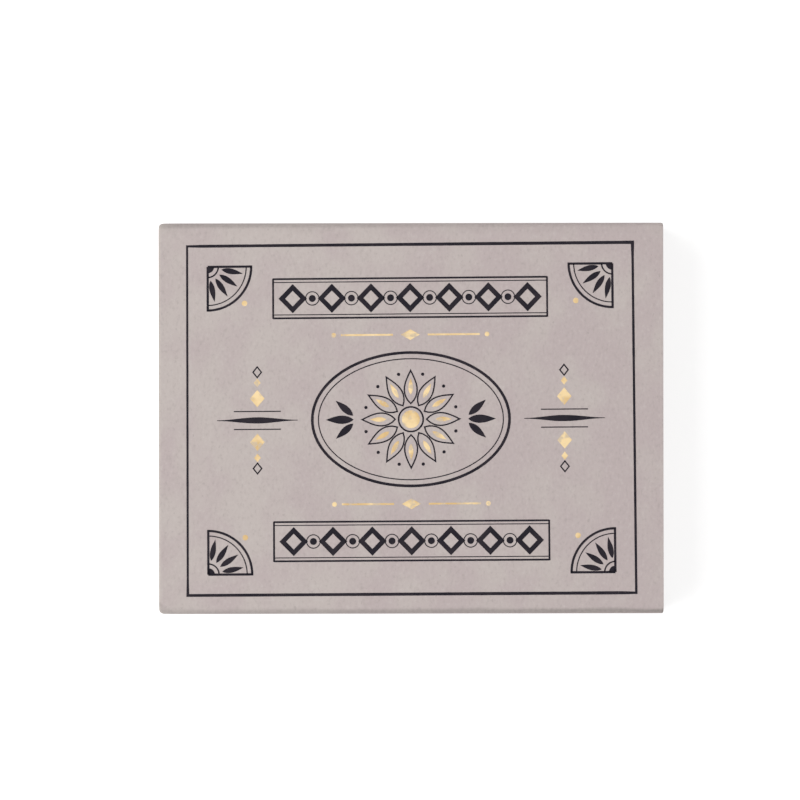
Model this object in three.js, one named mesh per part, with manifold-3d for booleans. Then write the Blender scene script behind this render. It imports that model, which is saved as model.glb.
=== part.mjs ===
// A slide box of ten brass wire clips: a folded card sleeve, open at both ends, a folded card tray
// that slides out of either end, and the clips lying flat in the tray in three layers.
// Millimetres, +Z up. X runs along the box, the way the tray slides, and Y across it.
// The origin is the middle of the sleeve's underside.

import * as THREE from "three";
import { mergeVertices } from "three/addons/utils/BufferGeometryUtils.js";
import Module from "manifold-3d";

const wasm = await Module();
wasm.setup();

// Driving dimensions of the clip, which is one wire. Radii are to the middle of the wire.
const wireDiameter = 1.4;
const clipWidth = 32;
const clipHeight = 34.6;
const endGap = 0.75;          // between the two ends of the wire, in the middle of the base bar
const cornerRadius = 1.6;     // the two bends at the ends of the base bar
const loopRadius = 4.65;      // the two round loops that the fingers squeeze
const loopSpacing = 20;       // between the centres of the loops
const gripRadius = 4.68;      // the round tongue in the middle
const gripRise = 10.8;        // its centre above the base bar
const neckWidth = 5.1;        // between the wires where the tongue narrows
const neckRadius = 0.9;
const neckStretch = 0.25;     // added between the neck bend and the tongue, which leaves a short straight
const crossingGap = 0.4;      // between the wires where an outer leg passes over an inner leg

// Driving dimensions of the card
const cardThickness = 0.6;
const foldRadius = 1;         // outside of a fold
const glueBed = 0.05;         // how far two glued faces press into each other
const cutGap = 0.2;           // left where a cut edge meets another panel

// Driving dimensions of the box, which is made round its load
const clipCount = 10;
const clipRows = 2;           // along the box, in one layer
const clipColumns = 2;        // across the box, in one layer
const endPlay = 16.4;         // room left along the tray beside the rows
const sidePlay = 2.15;        // room left across the tray beside the columns
const headroom = 2.1;         // above the highest layer
const restGap = 0.3;          // between pieces that lie on or beside each other
const slideClearance = 0.3;   // between the tray and the sleeve, on each side
const trayRecess = 0.5;       // each end of the tray lies this far inside the sleeve
const glueFlapHeight = 12.5;
const glueFlapTaper = 4;      // each end of the flap is cut back this much at its free edge
const tabLength = 14;         // the corner tabs of the tray's long walls
const tabDrop = 1;            // the tabs end this far under the walls' top edge

// Facets
const wireSides = 8;
const broadBendStep = THREE.MathUtils.degToRad(18);
const tightBendStep = THREE.MathUtils.degToRad(30);
const foldStep = THREE.MathUtils.degToRad(15);
const yawHalvings = 16;

// How the clips are scattered: the golden share as the step from one clip to the next, and a starting
// share each for the turn, the place along and across the cell, and which face is up.
const scatterStep = (Math.sqrt(5) - 1) / 2;
const yawStart = 0.1;
const alongStart = 0.55;
const acrossStart = 0.3;
const faceStart = 0.8;

// Derived sizes
const wireRadius = wireDiameter / 2;
const layerOffset = (wireDiameter + crossingGap) / 2;
const clipThickness = 2 * wireDiameter + crossingGap;
const clipLayers = Math.ceil(clipCount / (clipRows * clipColumns));
const layerPitch = clipThickness + restGap;
const foldMiddleRadius = foldRadius - cardThickness / 2;
const endWall = 3 * cardThickness - 2 * glueBed;
const seamWall = 2 * cardThickness - glueBed;
const trayInside = new THREE.Vector3(
  clipRows * clipHeight + endPlay,
  clipColumns * clipWidth + sidePlay,
  clipLayers * layerPitch + headroom,
);
const trayOutside = new THREE.Vector3(
  trayInside.x + 2 * endWall,
  trayInside.y + 2 * cardThickness,
  trayInside.z + cardThickness,
);
const sleeveOutside = new THREE.Vector3(
  trayOutside.x + 2 * trayRecess,
  trayOutside.y + 2 * slideClearance + cardThickness + seamWall,
  trayOutside.z + 2 * slideClearance + 2 * cardThickness,
);

// The seam doubles the sleeve's wall on the -Y side, so the tray runs a little off the middle.
const trayCentreY = (seamWall - cardThickness) / 2;
const trayBaseZ = cardThickness + slideClearance;

// Stations along a path of straight runs joined by bends. A bend is a circle with its centre, its
// radius and its turn: 1 when it bends to the left, -1 when it bends to the right. Each station has its
// place, the heading of the path there, and which bend it belongs to with how far round it is.
function bentPath(start, bends, end, stepOf) {
  const line = [{ centre: start, radius: 0, turn: 0 }, ...bends, { centre: end, radius: 0, turn: 0 }];
  const headings = [];
  for (let i = 0; i + 1 < line.length; i += 1) {
    const span = line[i + 1].centre.clone().sub(line[i].centre);
    const across = line[i].turn * line[i].radius - line[i + 1].turn * line[i + 1].radius;
    headings.push(span.angle() + Math.asin(across / span.length()));
  }
  const stations = [{ point: start, heading: headings[0], bend: -1, share: 0 }];
  bends.forEach((bend, i) => {
    const swing = THREE.MathUtils.euclideanModulo(bend.turn * (headings[i + 1] - headings[i]), 2 * Math.PI);
    const steps = Math.ceil(swing / stepOf(bend));
    for (let k = 0; k <= steps; k += 1) {
      const heading = headings[i] + (bend.turn * swing * k) / steps;
      const point = bend.centre.clone().addScaledVector(leftOf(heading), -bend.turn * bend.radius);
      stations.push({ point, heading, bend: i, share: k / steps });
    }
  });
  stations.push({ point: end, heading: headings[bends.length], bend: bends.length, share: 1 });
  return stations;
}

function leftOf(heading) {
  return new THREE.Vector2(-Math.sin(heading), Math.cos(heading));
}

// The edge view of a strip of card that follows the stations of its middle line.
function stripAlong(stations) {
  const side = (sign) => stations.map(({ point, heading }) =>
    point.clone().addScaledVector(leftOf(heading), (sign * cardThickness) / 2));
  return [...side(-1), ...side(1).reverse()];
}

// The edge view of a folded strip, from the corners of its middle line. Each inner corner is a fold.
function foldedStrip(corners) {
  const bends = [];
  for (let i = 1; i + 1 < corners.length; i += 1) {
    const arriving = corners[i].clone().sub(corners[i - 1]).normalize();
    const leaving = corners[i + 1].clone().sub(corners[i]).normalize();
    const turn = Math.sign(arriving.cross(leaving));
    const inward = leaving.clone().sub(arriving).normalize();
    const halfOpening = Math.acos(-arriving.dot(leaving)) / 2;
    const centre = corners[i].clone().addScaledVector(inward, foldMiddleRadius / Math.sin(halfOpening));
    bends.push({ centre, radius: foldMiddleRadius, turn });
  }
  return stripAlong(bentPath(corners[0], bends, corners[corners.length - 1], () => foldStep));
}

// Pushes a flat outline along one axis into a solid. The outline's coordinates are (y, z) along x,
// (x, z) along y, and (x, y) along z.
const pushDirections = {
  x: [new THREE.Vector3(0, 1, 0), new THREE.Vector3(0, 0, 1), new THREE.Vector3(1, 0, 0)],
  y: [new THREE.Vector3(1, 0, 0), new THREE.Vector3(0, 0, 1), new THREE.Vector3(0, -1, 0)],
  z: [new THREE.Vector3(1, 0, 0), new THREE.Vector3(0, 1, 0), new THREE.Vector3(0, 0, 1)],
};

function pushed(outline, axis, from, to) {
  const push = pushDirections[axis];
  const start = axis === "y" ? -to : from;
  const geometry = new THREE.ExtrudeGeometry(new THREE.Shape(outline), {
    depth: to - from,
    bevelEnabled: false,
  });
  geometry.translate(0, 0, start);
  geometry.applyMatrix4(new THREE.Matrix4().makeBasis(...push));
  return geometry;
}

function toSolid(geometry) {
  const bare = geometry.clone();
  bare.deleteAttribute("normal");
  bare.deleteAttribute("uv");
  const merged = mergeVertices(bare);
  return new wasm.Manifold(new wasm.Mesh({
    numProp: 3,
    vertProperties: new Float32Array(merged.attributes.position.array),
    triVerts: new Uint32Array(merged.index.array),
  }));
}

function joined(geometries) {
  const mesh = geometries.map(toSolid).reduce((whole, solid) => whole.add(solid)).getMesh();
  const geometry = new THREE.BufferGeometry();
  geometry.setAttribute("position", new THREE.BufferAttribute(new Float32Array(mesh.vertProperties), 3));
  geometry.setIndex(new THREE.BufferAttribute(new Uint32Array(mesh.triVerts), 1));
  geometry.computeVertexNormals();
  return geometry;
}

const at = (a, b) => new THREE.Vector2(a, b);

// The sleeve: side wall, top, side wall and bottom in one wrap, and a tapered glue flap on the bottom
// panel's edge that stands inside the first side wall.
function sleeveGeometry() {
  const halfLength = sleeveOutside.x / 2;
  const middle = cardThickness / 2;
  const left = -sleeveOutside.y / 2 + middle;
  const right = sleeveOutside.y / 2 - middle;
  const top = sleeveOutside.z - middle;
  const flapY = -sleeveOutside.y / 2 + seamWall - middle;
  const flapRoot = cardThickness + foldRadius;
  const flapTop = cardThickness + glueFlapHeight;
  const lap = cardThickness;

  const wrap = foldedStrip([
    at(left, cutGap),
    at(left, top),
    at(right, top),
    at(right, middle),
    at(-lap, middle),
  ]);
  const flapFold = foldedStrip([at(lap, middle), at(flapY, middle), at(flapY, flapRoot)]);
  const flapPanel = [
    at(-halfLength, flapRoot - cutGap),
    at(halfLength, flapRoot - cutGap),
    at(halfLength, flapRoot),
    at(halfLength - glueFlapTaper, flapTop),
    at(-halfLength + glueFlapTaper, flapTop),
    at(-halfLength, flapRoot),
  ];
  return joined([
    pushed(wrap, "x", -halfLength, halfLength),
    pushed(flapFold, "x", -halfLength, halfLength),
    pushed(flapPanel, "y", flapY - middle, flapY + middle),
  ]);
}

// The tray, in its own frame with the middle of its underside at the origin. The long walls are single
// and end in corner tabs. Each end panel stands outside the tabs and rolls over them, so that the end
// walls are three cards thick with a round top edge.
function trayGeometry() {
  const halfLength = trayOutside.x / 2;
  const halfWidth = trayOutside.y / 2;
  const height = trayOutside.z;
  const middle = cardThickness / 2;
  const tabOuterX = halfLength - cardThickness + glueBed;
  const tabX = tabOuterX - middle;
  const innerPanelX = halfLength - endWall + middle;
  const wallEndX = tabOuterX - foldRadius;
  const wallY = halfWidth - middle;
  const rollRadius = (halfLength - middle - innerPanelX) / 2;
  const foldTop = foldRadius + cutGap;
  const parts = [];

  // Floor with its two long folds, then each long wall above them
  parts.push(pushed(foldedStrip([
    at(-wallY, foldTop),
    at(-wallY, middle),
    at(wallY, middle),
    at(wallY, foldTop),
  ]), "x", -wallEndX, wallEndX));
  for (const side of [-1, 1]) {
    const wall = [
      at(side * (wallY - middle), foldRadius),
      at(side * (wallY + middle), foldRadius),
      at(side * (wallY + middle), height),
      at(side * (wallY - middle), height),
    ];
    parts.push(pushed(wall, "x", -wallEndX, wallEndX));
  }

  // Corner tabs, bent inward from the ends of the long walls
  for (const side of [-1, 1]) {
    for (const end of [-1, 1]) {
      const tab = foldedStrip([
        at(end * (wallEndX - cutGap), side * wallY),
        at(end * tabX, side * wallY),
        at(end * tabX, side * (halfWidth - tabLength)),
      ]);
      parts.push(pushed(tab, "z", foldTop, height - tabDrop));
    }
  }

  // End walls: the floor folds up into the end panel, and the roll comes back down inside the tabs
  for (const end of [-1, 1]) {
    const panelX = end * (halfLength - middle);
    const rollCentre = at((panelX + end * innerPanelX) / 2, height - middle - rollRadius);
    const endPanel = foldedStrip([
      at(end * (wallEndX - cutGap), middle),
      at(panelX, middle),
      at(panelX, rollCentre.y),
    ]);
    const rollBend = { centre: rollCentre, radius: rollRadius, turn: end };
    const rollStart = at(panelX, rollCentre.y - cutGap);
    const rollEnd = at(end * innerPanelX, middle);
    const roll = stripAlong(bentPath(rollStart, [rollBend], rollEnd, () => 2 * foldStep));
    parts.push(pushed(endPanel, "y", -halfWidth, halfWidth));
    parts.push(pushed(roll, "y", -trayInside.y / 2 + cutGap, trayInside.y / 2 - cutGap));
  }
  return joined(parts);
}

// The line of one clip's wire, in the frame of the drawing: across the clip, and up from the base bar.
// It starts at the middle of the base bar, goes out to the right corner, up the outer leg, over the
// right loop, down the inner leg to the neck, round the tongue, and back by the left side.
function clipStations() {
  const halfBase = clipWidth / 2 - wireRadius;
  const loopRise = clipHeight - wireDiameter - loopRadius;
  const neckX = neckWidth / 2 + neckRadius;
  const neckReach = gripRadius + neckRadius + neckStretch;
  const neckRise = gripRise + Math.sqrt(neckReach ** 2 - neckX ** 2);
  const corner = { centre: at(halfBase - cornerRadius, cornerRadius), radius: cornerRadius, turn: 1 };
  const loop = { centre: at(loopSpacing / 2, loopRise), radius: loopRadius, turn: -1 };
  const neck = { centre: at(neckX, neckRise), radius: neckRadius, turn: 1 };
  const grip = { centre: at(0, gripRise), radius: gripRadius, turn: -1 };
  const mirrored = ({ centre, radius, turn }) => ({ centre: at(-centre.x, centre.y), radius, turn });
  const bends = [corner, loop, neck, grip, mirrored(neck), mirrored(loop), mirrored(corner)];
  const stepOf = ({ radius }) => (radius > 2 * wireDiameter ? broadBendStep : tightBendStep);
  const stations = bentPath(at(endGap / 2, 0), bends, at(-endGap / 2, 0), stepOf);

  // The base bar and outer legs lie in the upper layer, the inner legs and the tongue in the lower
  // one, and the wire changes layer smoothly round each loop.
  const rightLoop = bends.indexOf(loop);
  const leftLoop = bends.length - 1 - rightLoop;
  const passed = (station, bend) => (station.bend === bend ? station.share : Number(station.bend > bend));
  for (const station of stations) {
    const lowered = passed(station, rightLoop) - passed(station, leftLoop);
    station.height = layerOffset * Math.cos(Math.PI * lowered);
  }
  return stations;
}

// The wire swept along its line, with a flat of the section facing up and down, centred on the clip,
// with the loops towards +X.
function clipGeometry() {
  const stations = clipStations();
  const sectionRadius = wireRadius / Math.cos(Math.PI / wireSides);
  const places = stations.map(({ point, height }) =>
    new THREE.Vector3(point.y + wireRadius - clipHeight / 2, -point.x, height));
  const positions = [];
  places.forEach((place, i) => {
    const before = places[Math.max(i - 1, 0)];
    const after = places[Math.min(i + 1, places.length - 1)];
    const { heading } = stations[i];
    const flat = new THREE.Vector3(Math.sin(heading), -Math.cos(heading), 0);
    const climb = (after.z - before.z) / after.distanceTo(before);
    const along = flat.clone().setZ(climb).normalize();
    const sideways = new THREE.Vector3(Math.cos(heading), Math.sin(heading), 0);
    const upward = along.clone().cross(sideways);
    for (let k = 0; k < wireSides; k += 1) {
      const angle = ((k + 0.5) * 2 * Math.PI) / wireSides;
      const corner = place.clone()
        .addScaledVector(sideways, sectionRadius * Math.cos(angle))
        .addScaledVector(upward, sectionRadius * Math.sin(angle));
      positions.push(corner.x, corner.y, corner.z);
    }
  });
  const indices = [];
  const last = places.length - 1;
  for (let i = 0; i < last; i += 1) {
    for (let k = 0; k < wireSides; k += 1) {
      const next = (k + 1) % wireSides;
      const [a, b] = [i * wireSides + k, i * wireSides + next];
      const [c, d] = [a + wireSides, b + wireSides];
      indices.push(a, b, c, b, d, c);
    }
  }
  for (let k = 1; k + 1 < wireSides; k += 1) {
    indices.push(0, k + 1, k);
    indices.push(last * wireSides, last * wireSides + k, last * wireSides + k + 1);
  }
  const geometry = new THREE.BufferGeometry();
  geometry.setAttribute("position", new THREE.Float32BufferAttribute(positions, 3));
  geometry.setIndex(indices);
  geometry.computeVertexNormals();
  return geometry;
}

// How a clip turned by an angle fits a rectangle
function boxAtYaw(geometry, yaw) {
  return new THREE.Box3().setFromBufferAttribute(geometry.clone().rotateZ(yaw).attributes.position);
}

function largestYaw(geometry, room) {
  let fits = 0;
  let tooFar = Math.PI / 4;
  for (let i = 0; i < yawHalvings; i += 1) {
    const yaw = (fits + tooFar) / 2;
    const size = boxAtYaw(geometry, yaw).getSize(new THREE.Vector3());
    if (size.x <= room.x && size.y <= room.y) {
      fits = yaw;
    } else {
      tooFar = yaw;
    }
  }
  return fits;
}

// A clip's place in the tray. Each layer is a grid of cells, and a layer with columns to spare gives
// its clips the whole width and leaves them at the back wall. In its cell each clip lies where it
// dropped: turned and shifted by a share of the room there, head to tail with its neighbours.
function clipPlace(geometry, index) {
  const perLayer = clipRows * clipColumns;
  const layer = Math.floor(index / perLayer);
  const inLayer = Math.min(clipCount - layer * perLayer, perLayer);
  const columns = Math.ceil(inLayer / clipRows);
  const row = index % clipRows;
  const column = Math.floor((index % perLayer) / clipRows);
  const cell = new THREE.Vector2(
    (trayInside.x - restGap) / clipRows,
    (trayInside.y - restGap) / columns,
  );
  const room = cell.clone().subScalar(restGap);
  const scatter = (start) => THREE.MathUtils.euclideanModulo(start + index * scatterStep, 1);
  const yaw = (2 * scatter(yawStart) - 1) * largestYaw(geometry, room);
  const reach = boxAtYaw(geometry, yaw);
  const spare = room.clone().sub(reach.getSize(new THREE.Vector3()));
  const headToTail = (row + column + layer) % 2 === 0 ? 0 : Math.PI;
  const shareAcross = columns < clipColumns ? 1 : scatter(acrossStart);
  const low = new THREE.Vector2(
    (row - clipRows / 2) * cell.x + restGap / 2,
    (columns / 2 - 1 - column) * cell.y + restGap / 2,
  );
  const farCorner = headToTail === 0 ? reach.min : reach.max.clone().negate();
  return {
    position: new THREE.Vector3(
      low.x - farCorner.x + spare.x * scatter(alongStart),
      low.y - farCorner.y + spare.y * shareAcross,
      cardThickness + restGap + clipThickness / 2 + layer * layerPitch,
    ),
    yaw: yaw + headToTail,
    faceDown: scatter(faceStart) < 0.5,
  };
}

function piece(name, geometry, finish) {
  const mesh = new THREE.Mesh(geometry, new THREE.MeshStandardMaterial(finish));
  mesh.name = name;
  return mesh;
}

const card = { color: 0xbdb2b0, roughness: 0.9, metalness: 0 };
const brass = { color: 0xc9a45c, roughness: 0.3, metalness: 0.9 };

const box = new THREE.Group();
box.add(piece("sleeve", sleeveGeometry(), card));

const drawer = new THREE.Group();
drawer.position.set(0, trayCentreY, trayBaseZ);
drawer.add(piece("tray", trayGeometry(), card));
box.add(drawer);

const clip = clipGeometry();
for (let index = 0; index < clipCount; index += 1) {
  const { position, yaw, faceDown } = clipPlace(clip, index);
  const mesh = piece(`clip_${String(index + 1).padStart(2, "0")}`, clip, brass);
  mesh.position.copy(position);
  mesh.rotation.set(faceDown ? Math.PI : 0, 0, yaw);
  drawer.add(mesh);
}

export default box;
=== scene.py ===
import math

import bmesh
import bpy
import numpy as np
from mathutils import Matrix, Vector, noise


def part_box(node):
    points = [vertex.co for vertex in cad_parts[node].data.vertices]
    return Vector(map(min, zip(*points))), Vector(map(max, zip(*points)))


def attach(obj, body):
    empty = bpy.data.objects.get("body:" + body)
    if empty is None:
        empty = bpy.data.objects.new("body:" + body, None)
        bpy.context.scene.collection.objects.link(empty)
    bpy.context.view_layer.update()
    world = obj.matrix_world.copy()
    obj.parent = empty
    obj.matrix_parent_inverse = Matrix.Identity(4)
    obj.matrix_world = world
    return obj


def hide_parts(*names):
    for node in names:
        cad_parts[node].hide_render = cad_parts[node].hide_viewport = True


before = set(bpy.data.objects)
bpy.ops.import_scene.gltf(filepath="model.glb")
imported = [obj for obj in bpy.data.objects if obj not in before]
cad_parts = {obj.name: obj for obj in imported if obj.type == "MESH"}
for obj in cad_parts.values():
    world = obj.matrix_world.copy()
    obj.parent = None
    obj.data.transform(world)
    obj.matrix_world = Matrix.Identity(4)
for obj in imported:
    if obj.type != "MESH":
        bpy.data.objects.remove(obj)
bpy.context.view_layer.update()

# A flat slide box of folded grey card with brass wire clips in its tray. The sleeve, the tray and the
# clips are built again here with finer meshes, each in the place where the frame has it. Lengths are
# metres, apart from the printed label, which is drawn in millimetres from its middle.

MM = 0.001

# Faces that meet at less than this angle are shaded smooth
SMOOTH_BELOW = math.radians(38)

# Card
CARD = 0.6 * MM
FOLD_RADIUS = 1.0 * MM
GLUE_BED = 0.05 * MM
CUT_GAP = 0.2 * MM
EDGE_SOFTNESS = 0.06 * MM
FOLD_STEPS = 10

# Sleeve. The upper folds and the corners are softer at one end than at the other, so a pair of radii,
# lengths, depths or strengths is for the ends at low and at high X. Parts are the pieces that a flat
# panel is cut into.
SEAM_WALL = 2 * CARD - GLUE_BED
FLAP_HEIGHT = 12.5 * MM
FLAP_TAPER = 4 * MM
FRONT_FOLD_RADII = (0.95 * MM, 1.45 * MM)
BACK_FOLD_RADII = (1.15 * MM, 0.75 * MM)
CORNER_WEAR_LENGTHS = (0.95 * MM, 0.4 * MM)
CORNER_WEAR_DEPTHS = (0.65 * MM, 0.28 * MM)
WEAR_OF_INSIDE = 0.3
FACE_SAG = 0.1 * MM
SAG_LOST_AT_ENDS = 0.6
SLEEVE_SECTION = 1.2 * MM
END_SECTIONS = (0.15 * MM, 0.3 * MM, 0.5 * MM, 0.8 * MM)
WALL_PARTS = 8
FACE_PARTS = 56
BOTTOM_PARTS = 58
FLAP_PARTS = 5

# The crushed corner is at low X and low Y. It reaches further along the sleeve than across it, and the
# face is cut finer there.
CRUSHED_CORNER = (3.5 * MM, 2.05 * MM)
CRUSHED_CORNER_DEPTH = 0.5 * MM
CRUSHED_CORNER_SECTIONS = (1.5 * MM, 1.8 * MM, 2.1 * MM, 2.7 * MM, 3 * MM, 3.3 * MM)
FINE_ROWS = 8
FINE_SHARE = 0.0045

# Uneven surfaces: how far each strays, how often in a metre, and its own seed
FOLD_WOBBLE = 0.16 * MM
FOLD_WOBBLE_RATE = 70
FRONT_FOLD_SEED = 0.4
BACK_FOLD_SEED = 7.9
FACE_WAVE = 0.04 * MM
FACE_WAVE_RATE = 38
FACE_WAVE_SEED = 0.7
# The reach of the painted shade on the folds wanders as well
PAINTED_SHADE_WANDER = 0.3 * MM
PAINTED_SHADE_WANDER_RATE = 130
PAINTED_SHADE_WANDER_SEED = 4.2

# Wear of the sleeve's colour: its ends and corners are paler. Painted shade darkens its upper folds and
# its crushed corner: along a fold the painted shade rises and falls between these shares of its reach
# from the side, and it fades out between these depths below the top. The corner's painted shade darkens
# between these values of corner_crush, and fades this near the side.
END_WEAR = (0.6, 0.15)
END_WEAR_REACH = 0.7 * MM
CORNER_EXTRA_WEAR = 0.2
CORNER_WEAR_REACH = 2.5 * MM
FRONT_PAINTED_SHADE = (0.2, 0.95)
BACK_PAINTED_SHADE = (0.55, 0.1)
PAINTED_SHADE_REACH = 1.2 * MM
PAINTED_SHADE_RISE = (-0.08, 0.46)
PAINTED_SHADE_FALL = (0.45, 1)
PAINTED_SHADE_DEPTHS = (0.5 * MM, 1.5 * MM)
CRUSHED_CORNER_SHADE = 0.42
CRUSHED_CORNER_SHADE_EDGE = (-0.1, 0.06)
CRUSHED_CORNER_SHADE_FADE = 0.7 * MM

# Tray
TAB_LENGTH = 14 * MM
TAB_DROP = 1 * MM
END_WALL = 3 * CARD - 2 * GLUE_BED
WALL_LEAN = 0.12 * MM
TUCK = 0.01 * MM
ROLL_SLACK = 0.001 * MM
TRAY_SECTION = 3 * MM
TRAY_PARTS = (8, 22, 8)
TAB_PARTS = (2, 5)
END_PANEL_PARTS = (2, 6)
ROLL_PARTS = (1, 1, 6)
RIM_WEAR = 0.5
RIM_WEAR_REACH = 0.8 * MM
TRAY_END_WEAR = 0.3
TRAY_END_WEAR_REACH = 0.5 * MM

# Clip: one wire, with radii to its middle. Its steps are the turn from one section to the next, in
# wide bends and in tight ones.
WIRE = 1.4 * MM
CLIP_WIDTH = 32 * MM
CLIP_HEIGHT = 34.6 * MM
END_GAP = 0.75 * MM
CORNER_RADIUS = 1.6 * MM
LOOP_RADIUS = 4.65 * MM
LOOP_SPACING = 20 * MM
GRIP_RADIUS = 4.68 * MM
GRIP_RISE = 10.8 * MM
NECK_WIDTH = 5.1 * MM
NECK_RADIUS = 0.9 * MM
NECK_STRETCH = 0.25 * MM
CROSSING_GAP = 0.4 * MM
CLIP_THICKNESS = 2 * WIRE + CROSSING_GAP
TIGHT_BEND = 2 * WIRE
WIRE_SIDES = 20
WIRE_STEPS = (math.radians(5), math.radians(9))
BEND_SQUEEZE = 0.05
BEND_SWELL = 0.3
END_CHAMFER = 0.12 * MM

# The frame's own facets for the wire, which its places in the tray depend on
FRAME_SIDES = 8
FRAME_STEPS = (math.radians(18), math.radians(30))

# How the clips lie in the tray. Scatter runs from 0 to 1, and each clip's is one step on from the last.
CLIP_COUNT = 10
CLIP_ROWS = 2
CLIP_COLUMNS = 2
REST_GAP = 0.3 * MM
YAW_LIMIT = math.pi / 4
YAW_HALVINGS = 16
SCATTER_STEP = (math.sqrt(5) - 1) / 2
YAW_START = 0.1
ALONG_START = 0.55
ACROSS_START = 0.3
FACE_START = 0.8
FACE_DOWN_SHARE = 0.5

# Printed label, in millimetres. The border's corners show that it was printed a little askew. Its lines
# are wider along the box than across it, and all of them spread a little towards high X.
LABEL_HALF = (39.87, 31.2)
LABEL_TOP = ((-39.9, 30.72), (39.52, 31.35))
LABEL_BOTTOM = ((-39.86, -31.53), (40.12, -31.14))
LABEL_STEP = 2.5
BORDER_WIDTHS = (0.55, 0.41)
BORDER_SPREAD = 0.06
INK_ABOVE = 0.012 * MM
INK_BELOW = 0.02 * MM
INK_UNEVEN = 0.07
INK_UNEVEN_RATE = 1.3
INK_UNEVEN_SEED = 2.1
MITRE_LIMIT = 0.35
LEAF_STEPS = 10
LEAF_FULLNESS = 0.8

# Ornament on the label, in millimetres: places from its middle, sizes and line widths
FAN_PLACE = (36.2, 27.5)
FAN_SIDE = 8.0
FAN_ARCS = ((7.8, 0.42), (6.9, 0.2), (1.9, 0.26))
FAN_LINE = 0.42
FAN_LEAVES = 4
FAN_LEAF = (2.5, 6.4)
FAN_HUB = 1.15
FAN_DOT_DISTANCE = 9.3
FRIEZE_Y = 21.7
FRIEZE_REACH = 24.5
FRIEZE_RISE = 3.6
FRIEZE_RULES = ((3.5, 0.34), (2.9, 0.17))
FRIEZE_PITCH = 7.0
FRIEZE_PAIRS = 3
MEDALLION_OVALS = ((17.6, 11.9, 0.5), (16.5, 10.8, 0.2))
PETALS = 12
PETAL = (2.8, 8.7)
PETAL_FOIL = (4.4, 7.3)
PETAL_DOT_DISTANCE = 8.3
SPRIG_MIDDLE = (10.2, 15.2)
SPRIG_SIDE = ((10.3, 0.7), (13.4, 3.4))
SIDE_X = 27.4
SIDE_LOZENGE_Y = 8.6
SIDE_FOIL = ((3.9, 1.3, 1.55), (6.7, 0.6, 0.75))
TAPER_REACH = 7.2
TAPER_STEPS = 16
TAPER_WIDTH = 0.12
TAPER_SWELL = 1.0
FINE_RULE = (4.2, 1.6)
CROSS_RULE_Y = 15.1
CROSS_RULE = (3.1, 12.4)
CROSS_RULE_END = 13.7

# The photograph's frame
IMAGE_PX = 800
BOX_CENTRE_PX = (411.05, 418.4)
BOX_LENGTH_PX = 504.7
BOX_TILT = math.radians(0.08)
CAMERA_DISTANCE = 1.1
CAMERA_CLIP = (0.01, 50)
SENSOR = 36

# Studio. What is seen directly of the world and the floor is whiter than the light that they give.
WORLD_LIGHT = 0.38
WORLD_SEEN = 1.0
FLOOR_SEEN = 0.72
FLOOR_REACH = 6.0
FLOOR_LEVEL = -0.02 * MM
KEY_PLACE = (-1.15, 0.05, 0.9)
KEY_SIZE = 1.8
KEY_POWER = 28.5
FILL_PLACE = (1.2, -0.35, 0.22)
FILL_SIZE = 1.2
FILL_POWER = 6

sleeve_low, sleeve_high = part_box("sleeve")
tray_low, tray_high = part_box("tray")
SLEEVE_LENGTH = sleeve_high.x - sleeve_low.x
SLEEVE_HEIGHT = sleeve_high.z


def mix(first, last, share):
    return first + (last - first) * share


def share_between(value, low, high):
    return min(max((value - low) / (high - low), 0), 1)


def smooth_share(value, low, high):
    share = share_between(value, low, high)
    return share * share * (3 - 2 * share)


def left_of(direction):
    return Vector((-direction.y, direction.x))


def turned(point, angle):
    """x and y of a point that is turned about the origin."""
    return (point.x * math.cos(angle) - point.y * math.sin(angle),
            point.x * math.sin(angle) + point.y * math.cos(angle))


def add_piece(name, body, vertices, faces, materials, face_materials=None):
    mesh = bpy.data.meshes.new(name)
    mesh.from_pydata(vertices, [], faces)
    for material in materials:
        mesh.materials.append(material)
    if face_materials:
        mesh.polygons.foreach_set("material_index", face_materials)
    mesh.polygons.foreach_set("use_smooth", [True] * len(mesh.polygons))
    draft = bmesh.new()
    draft.from_mesh(mesh)
    bmesh.ops.recalc_face_normals(draft, faces=draft.faces)
    draft.to_mesh(mesh)
    draft.free()
    mesh.set_sharp_from_angle(angle=SMOOTH_BELOW)
    piece = bpy.data.objects.new(name, mesh)
    bpy.context.scene.collection.objects.link(piece)
    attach(piece, body)
    return piece


# Materials

def new_material(name):
    material = bpy.data.materials.new(name)
    material.use_nodes = True
    return material


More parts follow.
